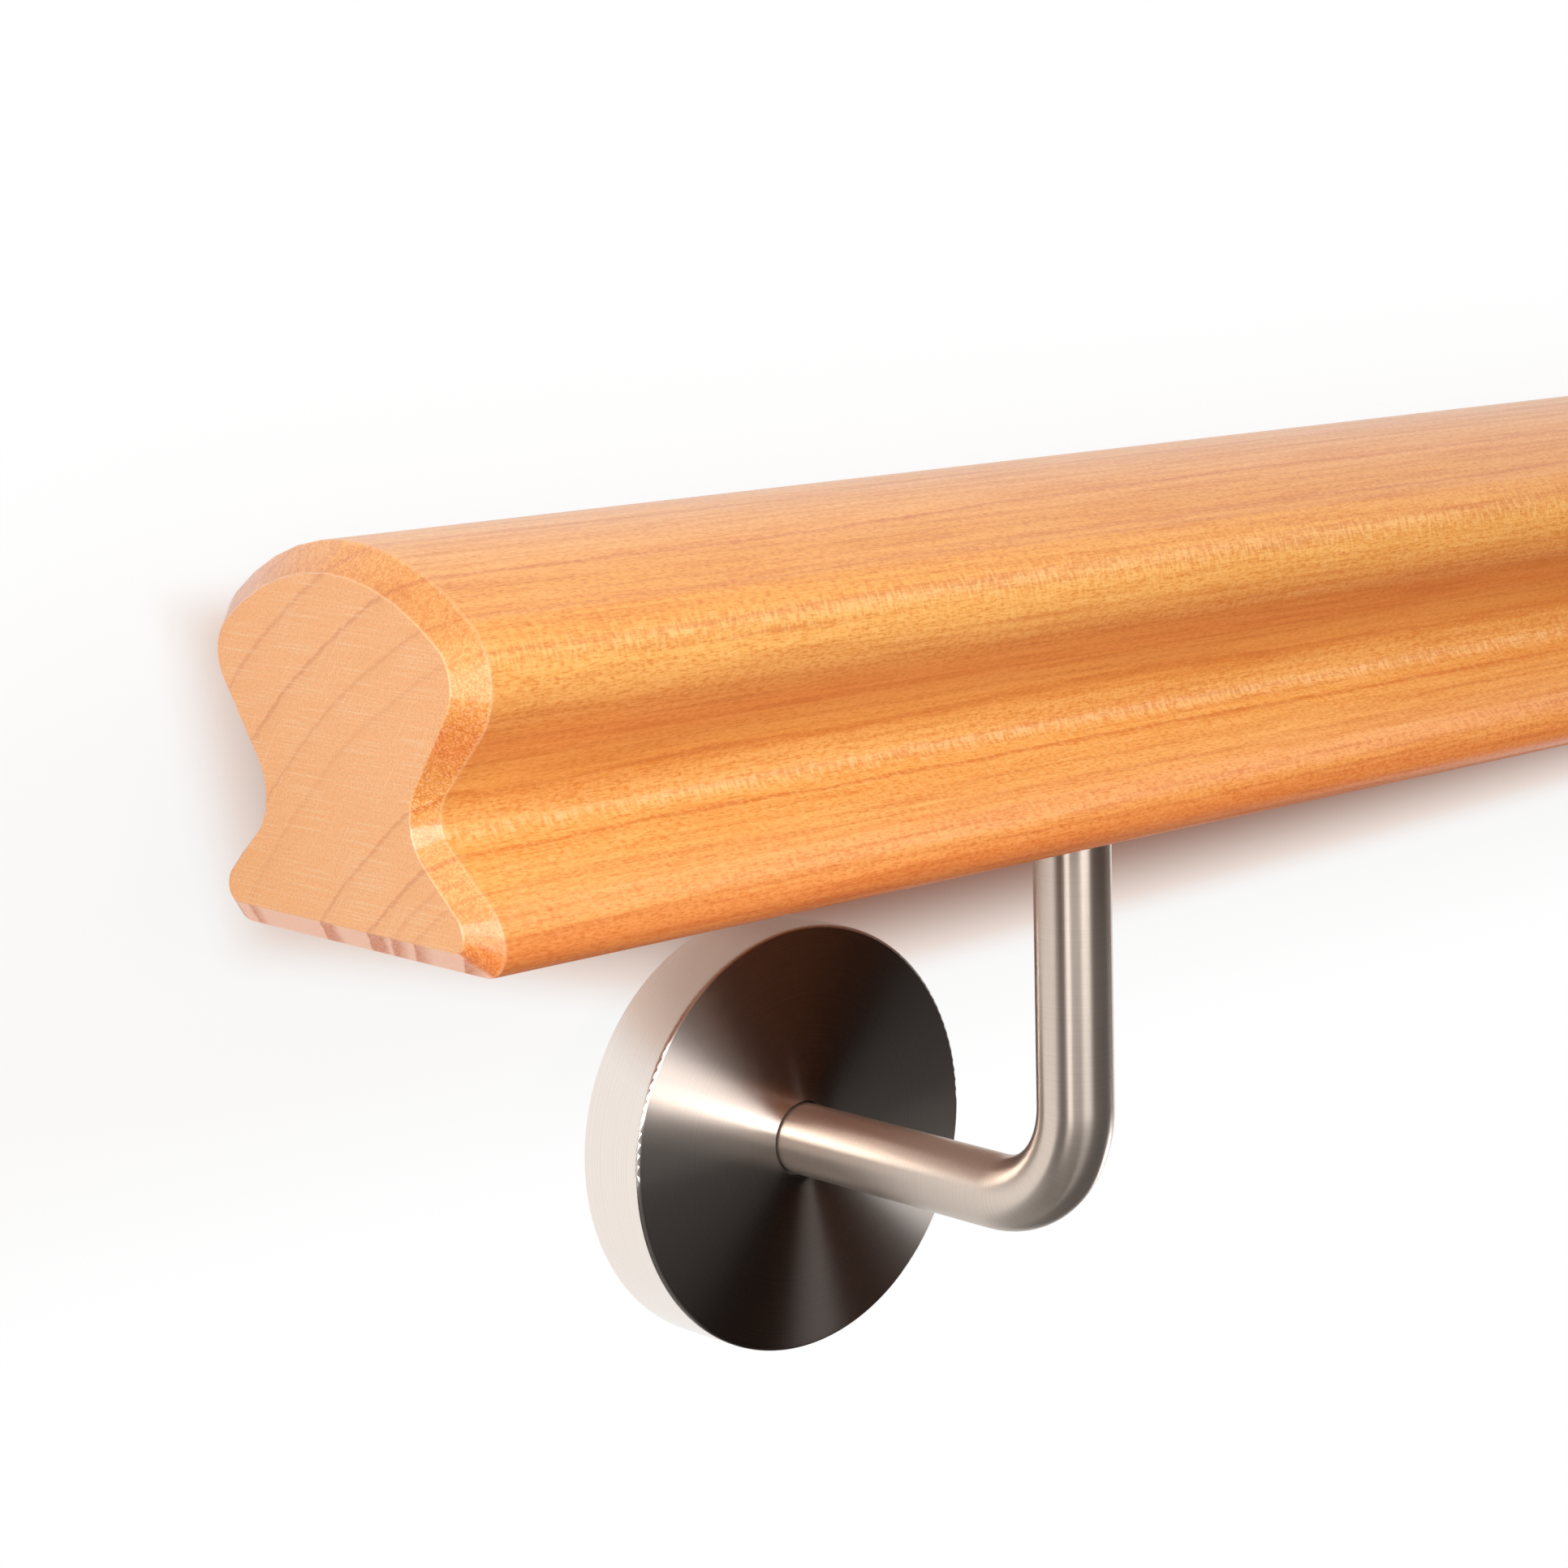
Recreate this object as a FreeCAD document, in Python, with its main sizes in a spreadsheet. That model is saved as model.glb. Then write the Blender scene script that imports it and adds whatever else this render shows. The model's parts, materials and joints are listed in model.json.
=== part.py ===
"""Wooden stair handrail, one metre, bevelled at both ends, on two bent-rod wall brackets.

The pieces are drawn as they hang on a wall, in millimetres: X along the rail, Y from the
rail's centre plane towards the wall, Z up from the rail's flat underside. The whole is then
laid down as it lies on a floor, on the edges of its two rosettes and the rail's wall side.
"""
import FreeCAD
import Part
import Sketcher
import math
import os

# Driving sizes in millimetres
SIZES = {
    "rail_length": 1000.0,
    # Rail section, from the top down: crown and shoulder, waist, spread foot with rounded toe
    "crown_height": 16.0,
    "head_half_width": 29.0,
    "shoulder_radius": 9.5,
    "neck_height": 17.5,
    "waist_half_width": 17.5,
    "waist_radius": 4.5,
    "foot_rise": 15.0,
    "foot_half_width": 29.5,
    "foot_radius": 6.5,
    "toe_radius": 4.0,
    # Bevel round each end: its length along the rail and how far the end face is set in
    "bevel_length": 3.5,
    "bevel_head": 4.0,
    "bevel_waist": 2.0,
    "bevel_foot": 4.1,
    "bevel_bottom": 3.5,
    "end_waist_radius": 7.5,
    "end_foot_radius": 3.0,
    "end_toe_radius": 2.0,
    # Bracket: bent rod
    "bracket_inset": 134.0,
    "rod_diameter": 12.0,
    "rod_drop": 64.0,
    "rod_bend_radius": 17.0,
    "wall_distance": 76.0,
    # Cover rosette
    "rosette_diameter": 72.0,
    "rosette_depth": 13.5,
    "rosette_wall": 1.5,
    "rosette_edge_radius": 0.6,
    "rod_hole_clearance": 0.4,
    # Wall plate under the rosette
    "plate_thickness": 4.0,
    "plate_clearance": 0.3,
    "screw_hole_diameter": 5.5,
    "screw_hole_circle": 44.0,
    "screw_sink_diameter": 10.0,
    "screw_sink_depth": 2.3,
    # Screw that ties the rod to the rail
    "hanger_diameter": 6.0,
    "hanger_in_rod": 14.0,
    "hanger_in_rail": 30.0,
    "hanger_point": 6.0,
    "hanger_point_diameter": 1.0,
    "hanger_clearance": 0.1,
}
SCREW_HOLES = 3
HANDS = {"left": -1, "right": 1}

doc = FreeCAD.newDocument("handrail")


def make_sheet():
    """Put every driving size in the sheet, with its name as alias."""
    sheet = doc.addObject("Spreadsheet::Sheet", "sizes")
    for row, (alias, value) in enumerate(SIZES.items(), start=1):
        sheet.set("A%d" % row, alias)
        sheet.set("B%d" % row, str(value))
        sheet.setAlias("B%d" % row, alias)
    doc.recompute()
    return sheet


SHEET = make_sheet()


def size(alias):
    """The sheet's value of one driving size."""
    return float(SHEET.get(alias))


def cells(text):
    """An expression over the sheet's aliases, each written with an @ before it."""
    return text.replace("@", "sizes.")


# Sketch and feature helpers

def new_body(label):
    body = doc.addObject("PartDesign::Body", label)
    body.Label = label
    return body


def origin_item(body, role):
    """The body's own origin plane or axis with this role."""
    for item in body.Origin.OriginFeatures:
        if item.Role == role:
            return item
    raise ValueError(role)


def new_sketch(body, name, role, offset=None):
    """A sketch on one of the body's origin planes, moved out along its normal by an expression."""
    sketch = body.newObject("Sketcher::SketchObject", name)
    sketch.AttachmentSupport = [(origin_item(body, role), "")]
    sketch.MapMode = "FlatFace"
    if offset:
        sketch.setExpression("AttachmentOffset.Base.z", cells(offset))
    return sketch


def point(x, y):
    return FreeCAD.Vector(x, y, 0)


def add_line(sketch, start, end):
    return sketch.addGeometry(Part.LineSegment(point(*start), point(*end)), False)


def add_arc(sketch, centre, radius, first, last):
    """A counter-clockwise arc from the first angle to the last, in radians."""
    circle = Part.Circle(point(*centre), FreeCAD.Vector(0, 0, 1), radius)
    return sketch.addGeometry(Part.ArcOfCircle(circle, first, last), False)


def bind(sketch, kind, args, value, text):
    """A dimension with its present value, driven by an expression."""
    index = sketch.addConstraint(Sketcher.Constraint(kind, *args, value))
    sketch.setExpression("Constraints[%d]" % index, cells(text))


def tie(sketch, kind, *args):
    sketch.addConstraint(Sketcher.Constraint(kind, *args))


def set_circle(sketch, centre, diameter, centre_text=None, diameter_text=""):
    """A full circle, centred on the origin or at bound distances from it."""
    circle = Part.Circle(point(*centre), FreeCAD.Vector(0, 0, 1), diameter / 2)
    geo = sketch.addGeometry(circle, False)
    if centre_text is None:
        tie(sketch, "Coincident", geo, 3, -1, 1)
    else:
        for kind, value, text in zip(("DistanceX", "DistanceY"), centre, centre_text):
            if value == 0:
                tie(sketch, "PointOnObject", geo, 3, -1 if kind == "DistanceY" else -2)
            elif value > 0:
                bind(sketch, kind, (-1, 1, geo, 3), value, text)
            else:
                bind(sketch, kind, (geo, 3, -1, 1), -value, text)
    bind(sketch, "Diameter", (geo,), diameter, diameter_text)
    return geo


def set_polygon(sketch, corners):
    """A closed outline; each corner is (x, y, x expression, y expression)."""
    count = len(corners)
    for i in range(count):
        add_line(sketch, corners[i][:2], corners[(i + 1) % count][:2])
    for i in range(count):
        tie(sketch, "Coincident", i, 2, (i + 1) % count, 1)
    for i, (x, y, x_text, y_text) in enumerate(corners):
        for kind, value, text, axis in (("DistanceX", x, x_text, -2), ("DistanceY", y, y_text, -1)):
            if value == 0:
                tie(sketch, "PointOnObject", i, 1, axis)
            elif value > 0:
                bind(sketch, kind, (-1, 1, i, 1), value, text)
            else:
                bind(sketch, kind, (i, 1, -1, 1), -value, "-(%s)" % text)


def add_feature(body, kind, name, sketch):
    feature = body.newObject("PartDesign::" + kind, name)
    feature.Profile = sketch
    sketch.Visibility = False
    return feature


def cut_pocket(body, name, sketch, depth_text):
    """A blind pocket, turned round if it points out of the solid."""
    before = body.Shape.Volume
    pocket = add_feature(body, "Pocket", name, sketch)
    pocket.setExpression("Length", cells(depth_text))
    doc.recompute()
    if body.Shape.Volume > before - 1e-6:
        pocket.Reversed = True
        doc.recompute()
    if body.Shape.Volume > before - 1e-6:
        raise RuntimeError(name + " cuts nothing")
    return pocket


def revolve_round_y(body, name, sketch):
    turned = add_feature(body, "Revolution", name, sketch)
    turned.ReferenceAxis = (origin_item(body, "Y_Axis"), [""])
    turned.Angle = 360
    doc.recompute()
    return turned


# Rail section

# Levels above the flat underside, each built up from the one below
WAIST_LEVEL = "@toe_radius + @foot_rise"
HEAD_LEVEL = WAIST_LEVEL + " + @neck_height"
TOP_LEVEL = HEAD_LEVEL + " + @crown_height"

# Each size of the rail's section as an expression, for the full section and the end face
FULL_SECTION = {
    "top": TOP_LEVEL,
    "shoulder_r": "@shoulder_radius",
    "head_w": "@head_half_width",
    "head_z": HEAD_LEVEL,
    "waist_w": "@waist_half_width",
    "waist_z": WAIST_LEVEL,
    "waist_r": "@waist_radius",
    "foot_w": "@foot_half_width",
    "foot_r": "@foot_radius",
    "toe_r": "@toe_radius",
    "bottom": "0",
}
END_SECTION = {
    "top": TOP_LEVEL + " - @bevel_head",
    "shoulder_r": "@shoulder_radius - @bevel_head",
    "head_w": "@head_half_width - @bevel_head",
    "head_z": HEAD_LEVEL,
    "waist_w": "@waist_half_width - @bevel_waist",
    "waist_z": WAIST_LEVEL,
    "waist_r": "@end_waist_radius",
    "foot_w": "@foot_half_width - @bevel_foot",
    "foot_r": "@end_foot_radius",
    "toe_r": "@end_toe_radius",
    "bottom": "@bevel_bottom",
}


def section_value(text):
    """The number that a sum or difference of sheet sizes gives."""
    total = 0.0
    sign = 1
    for word in text.split():
        if word in "+-":
            sign = 1 if word == "+" else -1
        else:
            total += sign * (size(word[1:]) if word.startswith("@") else float(word))
    return total


def crown_radius(v):
    """Radius of the crown, centred on the middle plane, that runs smoothly into the shoulder."""
    side = v["head_w"] - v["shoulder_r"]
    rise = v["top"] - v["head_z"]
    return (side ** 2 + rise ** 2 - v["shoulder_r"] ** 2) / (2 * (rise - v["shoulder_r"]))


def crossing_line(a, a_radius, b, b_radius, side):
    """Angle, seen from centre a, of the point where the line that crosses to circle b leaves a."""
    span = math.hypot(b[0] - a[0], b[1] - a[1])
    towards = math.atan2(b[1] - a[1], b[0] - a[0])
    return towards + side * math.acos((a_radius + b_radius) / span)


def on_circle(centre, radius, angle):
    return (centre[0] + radius * math.cos(angle), centre[1] + radius * math.sin(angle))


def draw_half_section(body, name, texts, offset):
    """The half of the rail's section on the wall side, from the flat bottom up to the crown."""
    v = {key: section_value(text) for key, text in texts.items()}
    shoulder_r = v["shoulder_r"]
    crown_r = crown_radius(v)
    crown = (0.0, v["top"] - crown_r)
    shoulder = (v["head_w"] - shoulder_r, v["head_z"])
    waist = (v["waist_w"] + v["waist_r"], v["waist_z"])
    foot_level = v["bottom"] + v["toe_r"]
    foot = (v["foot_w"] - v["foot_r"], foot_level)
    toe = (v["foot_w"] - v["toe_r"], foot_level)
    join = math.atan2(shoulder[1] - crown[1], shoulder[0] - crown[0])
    upper = crossing_line(shoulder, shoulder_r, waist, v["waist_r"], 1)
    lower = crossing_line(foot, v["foot_r"], waist, v["waist_r"], -1)

    sketch = new_sketch(body, name, "YZ_Plane", offset)
    bottom = add_line(sketch, (0, v["bottom"]), (toe[0], v["bottom"]))
    toe_arc = add_arc(sketch, toe, v["toe_r"], -math.pi / 2, 0)
    foot_arc = add_arc(sketch, foot, v["foot_r"], 0, lower)
    low_line = add_line(sketch, on_circle(foot, v["foot_r"], lower),
                        on_circle(waist, v["waist_r"], lower + math.pi))
    waist_arc = add_arc(sketch, waist, v["waist_r"], upper + math.pi, lower + math.pi)
    high_line = add_line(sketch, on_circle(waist, v["waist_r"], upper + math.pi),
                         on_circle(shoulder, shoulder_r, upper))
    shoulder_arc = add_arc(sketch, shoulder, shoulder_r, upper, join)
    crown_arc = add_arc(sketch, crown, crown_r, join, math.pi / 2)
    middle = add_line(sketch, (0, v["top"]), (0, v["bottom"]))

    # Each line runs smoothly into the next arc; the corner points are shared
    tie(sketch, "Tangent", bottom, 2, toe_arc, 1)
    tie(sketch, "Tangent", toe_arc, 2, foot_arc, 1)
    tie(sketch, "Tangent", foot_arc, 2, low_line, 1)
    tie(sketch, "Tangent", low_line, 2, waist_arc, 2)
    tie(sketch, "Tangent", waist_arc, 1, high_line, 1)
    tie(sketch, "Tangent", high_line, 2, shoulder_arc, 1)
    tie(sketch, "Tangent", shoulder_arc, 2, crown_arc, 1)
    tie(sketch, "Coincident", crown_arc, 2, middle, 1)
    tie(sketch, "Coincident", middle, 2, bottom, 1)
    tie(sketch, "PointOnObject", bottom, 1, -2)
    tie(sketch, "PointOnObject", middle, 1, -2)
    tie(sketch, "PointOnObject", crown_arc, 3, -2)
    tie(sketch, "Horizontal", bottom)

    # The widest point of the shoulder stands level with its centre
    widest = sketch.addGeometry(Part.Point(point(v["head_w"], v["head_z"])), True)
    tie(sketch, "PointOnObject", widest, 1, shoulder_arc)
    tie(sketch, "Horizontal", widest, 1, shoulder_arc, 3)
    bind(sketch, "DistanceX", (-1, 1, widest, 1), v["head_w"], texts["head_w"])
    bind(sketch, "DistanceY", (-1, 1, widest, 1), v["head_z"], texts["head_z"])
    bind(sketch, "DistanceY", (-1, 1, middle, 1), v["top"], texts["top"])
    bind(sketch, "Radius", (shoulder_arc,), shoulder_r, texts["shoulder_r"])
    bind(sketch, "Radius", (waist_arc,), v["waist_r"], texts["waist_r"])
    bind(sketch, "DistanceX", (-1, 1, waist_arc, 3), waist[0],
         "%s + %s" % (texts["waist_w"], texts["waist_r"]))
    bind(sketch, "DistanceY", (-1, 1, waist_arc, 3), waist[1], texts["waist_z"])
    bind(sketch, "Radius", (foot_arc,), v["foot_r"], texts["foot_r"])
    bind(sketch, "Radius", (toe_arc,), v["toe_r"], texts["toe_r"])
    bind(sketch, "DistanceX", (-1, 1, toe_arc, 3), toe[0],
         "%s - %s" % (texts["foot_w"], texts["toe_r"]))
    tie(sketch, "Horizontal", toe_arc, 3, foot_arc, 3)
    if v["bottom"] == 0:
        tie(sketch, "PointOnObject", bottom, 1, -1)
    else:
        bind(sketch, "DistanceY", (-1, 1, bottom, 1), v["bottom"], texts["bottom"])
    return sketch


def make_handrail():
    """One solid length: a quarter of it is drawn, then mirrored across and along."""
    body = new_body("handrail")
    full = draw_half_section(body, "section", FULL_SECTION, "@rail_length / 2 - @bevel_length")
    end = draw_half_section(body, "end_section", END_SECTION, "@rail_length / 2")
    shaft = add_feature(body, "Pad", "half_length", full)
    shaft.Reversed = True
    shaft.setExpression("Length", cells("@rail_length / 2 - @bevel_length"))
    doc.recompute()
    bevel = add_feature(body, "AdditiveLoft", "end_bevel", full)
    bevel.Sections = [end]
    bevel.Ruled = True
    doc.recompute()
    whole = body.newObject("PartDesign::MultiTransform", "both_sides_both_ends")
    whole.Originals = [shaft, bevel]
    mirrors = []
    for name, role in (("other_side", "XZ_Plane"), ("other_end", "YZ_Plane")):
        mirror = body.newObject("PartDesign::Mirrored", name)
        mirror.MirrorPlane = (origin_item(body, role), [""])
        mirrors.append(mirror)
    whole.Transformations = mirrors
    body.Tip = whole
    doc.recompute()

    pilots = new_sketch(body, "pilot_circles", "XY_Plane")
    reach = size("rail_length") / 2 - size("bracket_inset")
    bore = size("hanger_diameter") + 2 * size("hanger_clearance")
    for hand in HANDS.values():
        set_circle(pilots, (hand * reach, 0), bore, ("@rail_length / 2 - @bracket_inset", ""),
                   "@hanger_diameter + 2 * @hanger_clearance")
    cut_pocket(body, "pilot_holes", pilots, "@hanger_in_rail + @hanger_clearance")
    return body


# Bracket pieces: each is drawn round its own bracket's place under the rail

def make_rod(side):
    """Round rod: down from the rail, a quarter bend, then back to the wall plate."""
    body = new_body("bracket_rod_" + side)
    bend = size("rod_bend_radius")
    drop = size("rod_drop")
    seat = size("wall_distance") - size("plate_thickness")
    path = new_sketch(body, "rod_path", "YZ_Plane")
    down = add_line(path, (0, 0), (0, bend - drop))
    turn = add_arc(path, (bend, bend - drop), bend, math.pi, 1.5 * math.pi)
    back = add_line(path, (bend, -drop), (seat, -drop))
    tie(path, "Coincident", down, 1, -1, 1)
    tie(path, "Vertical", down)
    tie(path, "Tangent", down, 2, turn, 1)
    tie(path, "Tangent", turn, 2, back, 1)
    tie(path, "Horizontal", back)
    bind(path, "Radius", (turn,), bend, "@rod_bend_radius")
    bind(path, "DistanceX", (-1, 1, back, 2), seat, "@wall_distance - @plate_thickness")
    bind(path, "DistanceY", (back, 2, -1, 1), drop, "@rod_drop")
    round_section = new_sketch(body, "rod_section", "XY_Plane")
    set_circle(round_section, (0, 0), size("rod_diameter"), None, "@rod_diameter")
    doc.recompute()
    rod = add_feature(body, "AdditivePipe", "bent_rod", round_section)
    rod.Spine = (path, [""])
    doc.recompute()
    socket = new_sketch(body, "socket_circle", "XY_Plane")
    set_circle(socket, (0, 0), size("hanger_diameter") + 2 * size("hanger_clearance"), None,
               "@hanger_diameter + 2 * @hanger_clearance")
    cut_pocket(body, "screw_socket", socket, "@hanger_in_rod + @hanger_clearance")
    return body


def make_rosette(side):
    """Cover cap: a flat round front with a deep rim, pierced for the rod."""
    body = new_body("cover_rosette_" + side)
    outer = size("rosette_diameter") / 2
    wall = size("rosette_wall")
    back = size("wall_distance")
    front = back - size("rosette_depth")
    hole = size("rod_diameter") / 2 + size("rod_hole_clearance")
    outer_text = "@rosette_diameter / 2"
    front_text = "@wall_distance - @rosette_depth"
    hole_text = "@rod_diameter / 2 + @rod_hole_clearance"
    profile = new_sketch(body, "cap_profile", "YZ_Plane")
    set_polygon(profile, [
        (front, hole, front_text, hole_text),
        (front, outer, front_text, outer_text),
        (back, outer, "@wall_distance", outer_text),
        (back, outer - wall, "@wall_distance", outer_text + " - @rosette_wall"),
        (front + wall, outer - wall, front_text + " + @rosette_wall", outer_text + " - @rosette_wall"),
        (front + wall, hole, front_text + " + @rosette_wall", hole_text),
    ])
    cap = revolve_round_y(body, "cap", profile)
    rims = []
    for number, edge in enumerate(cap.Shape.Edges, start=1):
        box = edge.BoundBox
        if abs(box.YMax - front) < 1e-3 and box.XLength > 2 * (outer - wall / 2):
            rims.append("Edge%d" % number)
    rounding = body.newObject("PartDesign::Fillet", "front_edge")
    rounding.Base = (cap, rims)
    rounding.setExpression("Radius", cells("@rosette_edge_radius"))
    doc.recompute()
    return body


def make_plate(side):
    """Round wall plate with countersunk screw holes, hidden in the rosette's rim."""
    body = new_body("wall_plate_" + side)
    radius = size("rosette_diameter") / 2 - size("rosette_wall") - size("plate_clearance")
    radius_text = "@rosette_diameter / 2 - @rosette_wall - @plate_clearance"
    back = size("wall_distance")
    front = back - size("plate_thickness")
    front_text = "@wall_distance - @plate_thickness"
    profile = new_sketch(body, "plate_profile", "YZ_Plane")
    set_polygon(profile, [
        (front, 0, front_text, ""),
        (front, radius, front_text, radius_text),
        (back, radius, "@wall_distance", radius_text),
        (back, 0, "@wall_distance", ""),
    ])
    revolve_round_y(body, "disc", profile)
    hole = size("screw_hole_diameter") / 2
    sink = size("screw_sink_diameter") / 2
    depth = size("screw_sink_depth")
    circle = size("screw_hole_circle") / 2
    # The countersunk hole is a stepped cone turned about its own axis on the screw circle
    outline = new_sketch(body, "hole_profile", "YZ_Plane")
    middle_text = "@screw_hole_circle / 2"
    set_polygon(outline, [
        (front, circle, front_text, middle_text),
        (front, circle + sink, front_text, middle_text + " + @screw_sink_diameter / 2"),
        (front + depth, circle + hole, front_text + " + @screw_sink_depth",
         middle_text + " + @screw_hole_diameter / 2"),
        (back, circle + hole, "@wall_distance", middle_text + " + @screw_hole_diameter / 2"),
        (back, circle, "@wall_distance", middle_text),
    ])
    before = body.Shape.Volume
    bore = add_feature(body, "Groove", "screw_hole", outline)
    bore.ReferenceAxis = (outline, ["Edge5"])
    bore.Angle = 360
    doc.recompute()
    if body.Shape.Volume > before - 1e-6:
        raise RuntimeError("screw hole cuts nothing")
    ring = body.newObject("PartDesign::PolarPattern", "screw_holes")
    ring.Originals = [bore]
    ring.Axis = (origin_item(body, "Y_Axis"), [""])
    ring.Angle = 360
    ring.Occurrences = SCREW_HOLES
    body.Tip = ring
    doc.recompute()
    return body


def make_hanger(side):
    """Double-ended screw: straight shank in the rod's socket, pointed end in the rail."""
    shank = doc.addObject("Part::Cylinder", "hanger_shank_" + side)
    shank.setExpression("Radius", cells("@hanger_diameter / 2"))
    shank.setExpression("Height", cells("@hanger_in_rod + @hanger_in_rail - @hanger_point"))
    shank.setExpression("Placement.Base.z", cells("-@hanger_in_rod"))
    tip = doc.addObject("Part::Cone", "hanger_tip_" + side)
    tip.setExpression("Radius1", cells("@hanger_diameter / 2"))
    tip.setExpression("Radius2", cells("@hanger_point_diameter / 2"))
    tip.setExpression("Height", cells("@hanger_point"))
    tip.setExpression("Placement.Base.z", cells("@hanger_in_rail - @hanger_point"))
    screw = doc.addObject("Part::Fuse", "hanger_screw_" + side)
    screw.Base = shank
    screw.Tool = tip
    screw.Refine = True
    screw.Label = "hanger_screw_" + side
    doc.recompute()
    return screw


# Lying down

def lying_angle():
    """Angle in the section, up from the wall's normal, of the floor seen from the resting thing.

    The floor touches the back rims of the rosettes and the rail's shoulder on the wall side.
    """
    v = {key: section_value(text) for key, text in FULL_SECTION.items()}
    radius = v["shoulder_r"]
    rim = (size("wall_distance"), size("rosette_diameter") / 2 - size("rod_drop"))
    away = (rim[0] - (v["head_w"] - radius), rim[1] - v["head_z"])
    angle = math.atan2(away[1], away[0]) + math.acos(radius / math.hypot(*away))
    reach = rim[0] * math.cos(angle) + rim[1] * math.sin(angle)
    return angle, reach


def lay_down(piece, hung, shift):
    """Turn a piece from its place on the wall to its place on the floor."""
    angle, reach = lying_angle()
    turn = FreeCAD.Rotation(FreeCAD.Vector(1, 0, 0), -90 - math.degrees(angle))
    floor = FreeCAD.Placement(FreeCAD.Vector(0, shift, reach), turn)
    piece.Placement = floor.multiply(hung)


def make_all():
    """Every piece with its place on the wall."""
    pieces = [(make_handrail(), FreeCAD.Placement())]
    reach = size("rail_length") / 2 - size("bracket_inset")
    for side, hand in HANDS.items():
        under_rail = FreeCAD.Placement(FreeCAD.Vector(hand * reach, 0, 0), FreeCAD.Rotation())
        rod_line = FreeCAD.Placement(
            FreeCAD.Vector(hand * reach, 0, -size("rod_drop")), FreeCAD.Rotation())
        pieces.append((make_rod(side), under_rail))
        pieces.append((make_hanger(side), under_rail))
        pieces.append((make_plate(side), rod_line))
        pieces.append((make_rosette(side), rod_line))
    return pieces


def middle_depth(pieces):
    """Middle of everything across the rail, once it lies down."""
    boxes = [piece.Shape.optimalBoundingBox(False, False) for piece, hung in pieces]
    return (min(box.YMin for box in boxes) + max(box.YMax for box in boxes)) / 2


def check_all(pieces):
    for item in doc.Objects:
        for state in item.State:
            if state in ("Invalid", "Error"):
                raise RuntimeError("%s is %s" % (item.Name, state))
    for piece, hung in pieces:
        if piece.Shape.isNull() or not piece.Shape.isValid() or len(piece.Shape.Solids) != 1:
            raise RuntimeError(piece.Label + " is not one valid solid")


def main():
    pieces = make_all()
    for piece, hung in pieces:
        lay_down(piece, hung, 0)
    doc.recompute()
    shift = -middle_depth(pieces)
    for piece, hung in pieces:
        lay_down(piece, hung, shift)
    doc.recompute()
    check_all(pieces)
    os.makedirs("parts", exist_ok=True)
    for piece, hung in pieces:
        piece.Shape.exportStep(os.path.join("parts", piece.Label + ".step"))
        box = piece.Shape.optimalBoundingBox(False, False)
        print("%-22s volume %9.0f mm3  x %7.2f..%7.2f  y %7.2f..%7.2f  z %7.2f..%7.2f" % (
            piece.Label, piece.Shape.Volume,
            box.XMin, box.XMax, box.YMin, box.YMax, box.ZMin, box.ZMax))
    angle, reach = lying_angle()
    print("lying angle %.4f degrees, reach %.4f, shift %.4f" % (math.degrees(angle), reach, shift))


main()
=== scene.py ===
"""Looks of a varnished cherry handrail on two brushed stainless wall brackets."""
import bpy
import json
import math
from mathutils import Matrix, Vector

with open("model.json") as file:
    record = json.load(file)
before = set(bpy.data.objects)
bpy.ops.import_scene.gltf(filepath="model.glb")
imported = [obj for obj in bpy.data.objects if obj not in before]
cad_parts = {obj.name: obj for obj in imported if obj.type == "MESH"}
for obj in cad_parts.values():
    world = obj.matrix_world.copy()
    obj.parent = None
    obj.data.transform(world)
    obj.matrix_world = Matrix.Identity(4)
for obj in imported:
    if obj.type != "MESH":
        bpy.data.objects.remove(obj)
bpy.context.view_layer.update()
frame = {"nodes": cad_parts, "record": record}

MM = 0.001

# Sizes of the object, in millimetres, as it hangs on a wall: x along the rail, y from the
# rail's middle plane to the wall, z up from the rail's flat underside
RAIL_HALF_LENGTH = 500.0
RAIL_HEIGHT = 52.5
BEVEL_LENGTH = 3.5
BRACKET_X = 366.0
WALL_DISTANCE = 76.0
ROD_DROP = 64.0
ROD_BEND_RADIUS = 17.0

# The tree's heart, from the rings on the end face: it lies in front of the rail and below it
HEART = (0.0, -73.0, -70.0)
# Growth rings that cross the rail, by their distance from the heart, and how dark each is. A
# colour ramp has room for ten of them.
RINGS = (
    (87.0, 0.4), (93.6, 0.35), (96.4, 0.4), (99.6, 0.9), (106.9, 0.6),
    (119.8, 0.3), (125.2, 0.5), (132.0, 0.8), (139.7, 0.7), (146.5, 0.6),
)
RING_SPAN = (78.0, 152.0)
# How far the rings wander slowly along the rail, and how far they wobble finely
RING_WANDER = 4.0
RING_WOBBLE = 0.9
# Each ring darkens outwards over a width, widely as late wood and narrowly as its line, and then
# ends within a quarter of a millimetre
LATE_WIDTH = 2.8
LINE_WIDTH = 0.5
RING_END = 0.25
# Nearer the heart than the first distance the flecks are faint, beyond the second they are full
FLECKS_FROM = (88.0, 93.0)
# Rays: how far apart along the grain and outwards, in millimetres, and how many to a radian round
# the heart, which leaves 0.5 mm for each where the rail is
RAY_LENGTH = 0.5882
RAY_DEPTH = 1.818
RAYS_PER_RADIAN = 190.0

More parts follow.
